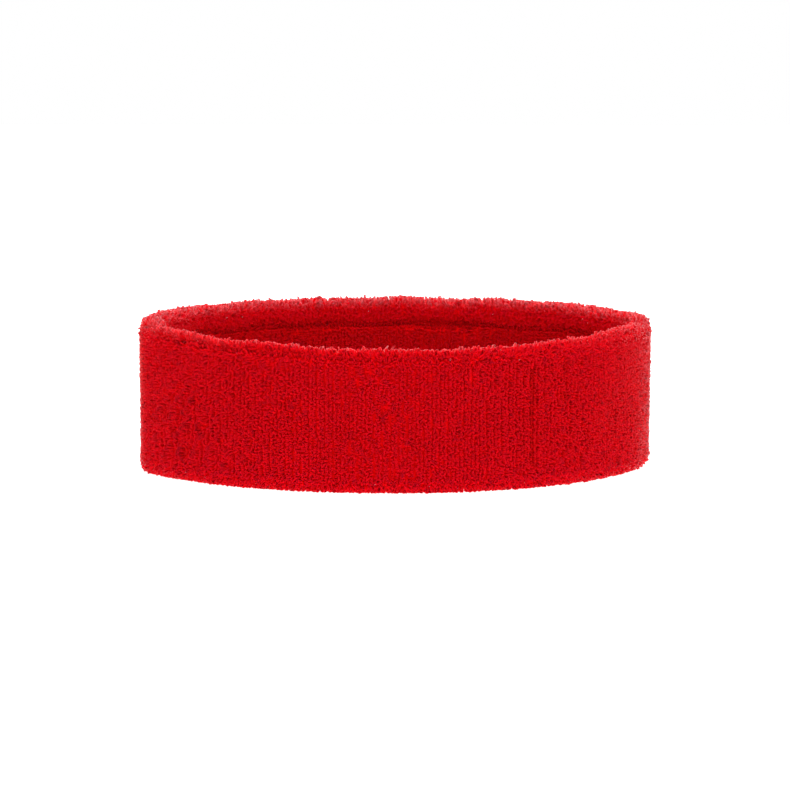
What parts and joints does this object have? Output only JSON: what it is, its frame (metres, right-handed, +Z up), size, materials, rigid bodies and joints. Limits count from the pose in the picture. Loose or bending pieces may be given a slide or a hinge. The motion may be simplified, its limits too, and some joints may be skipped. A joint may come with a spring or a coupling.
{
  "type": "sports headband",
  "caption": "Terry-knit sports headband: a loop-pile tube doubled over itself, closed by a seam on its inner face and standing as an open oval.",
  "frame": {"origin": "centre of the oval on the surface that the band stands on", "axes": "+Z up from the lower fold to the upper fold; +X along the oval's length; +Y along its depth, from the front wall to the back wall"},
  "size_m": [0.163, 0.1102, 0.05],
  "materials": {
    "terry_pile": "cotton loop pile, matt with a soft sheen",
    "ground_knit": "plain knit, matt",
    "seam_thread": "spun polyester thread",
    "elastic_yarn": "covered rubber yarn, matt"
  },
  "bodies": {
    "root": {"outer_terry_pile": "terry_pile", "inner_terry_pile_lower": "terry_pile", "inner_terry_pile_upper": "terry_pile", "outer_ground_knit": "ground_knit", "inner_ground_knit_lower": "ground_knit", "inner_ground_knit_upper": "ground_knit", "seam_needle_thread": "seam_thread", "seam_looper_thread": "seam_thread", "outer_elastic_turn_01": "elastic_yarn", "outer_elastic_turn_02": "elastic_yarn", "outer_elastic_turn_03": "elastic_yarn", "outer_elastic_turn_04": "elastic_yarn", "outer_elastic_turn_05": "elastic_yarn", "outer_elastic_turn_06": "elastic_yarn", "outer_elastic_turn_07": "elastic_yarn", "outer_elastic_turn_08": "elastic_yarn", "outer_elastic_turn_09": "elastic_yarn", "outer_elastic_turn_10": "elastic_yarn", "inner_elastic_turn_00": "elastic_yarn", "inner_elastic_turn_01": "elastic_yarn", "inner_elastic_turn_02": "elastic_yarn", "inner_elastic_turn_03": "elastic_yarn", "inner_elastic_turn_04": "elastic_yarn", "inner_elastic_turn_05": "elastic_yarn", "inner_elastic_turn_06": "elastic_yarn", "inner_elastic_turn_07": "elastic_yarn", "inner_elastic_turn_08": "elastic_yarn", "inner_elastic_turn_09": "elastic_yarn"}
  },
  "joints": []
}
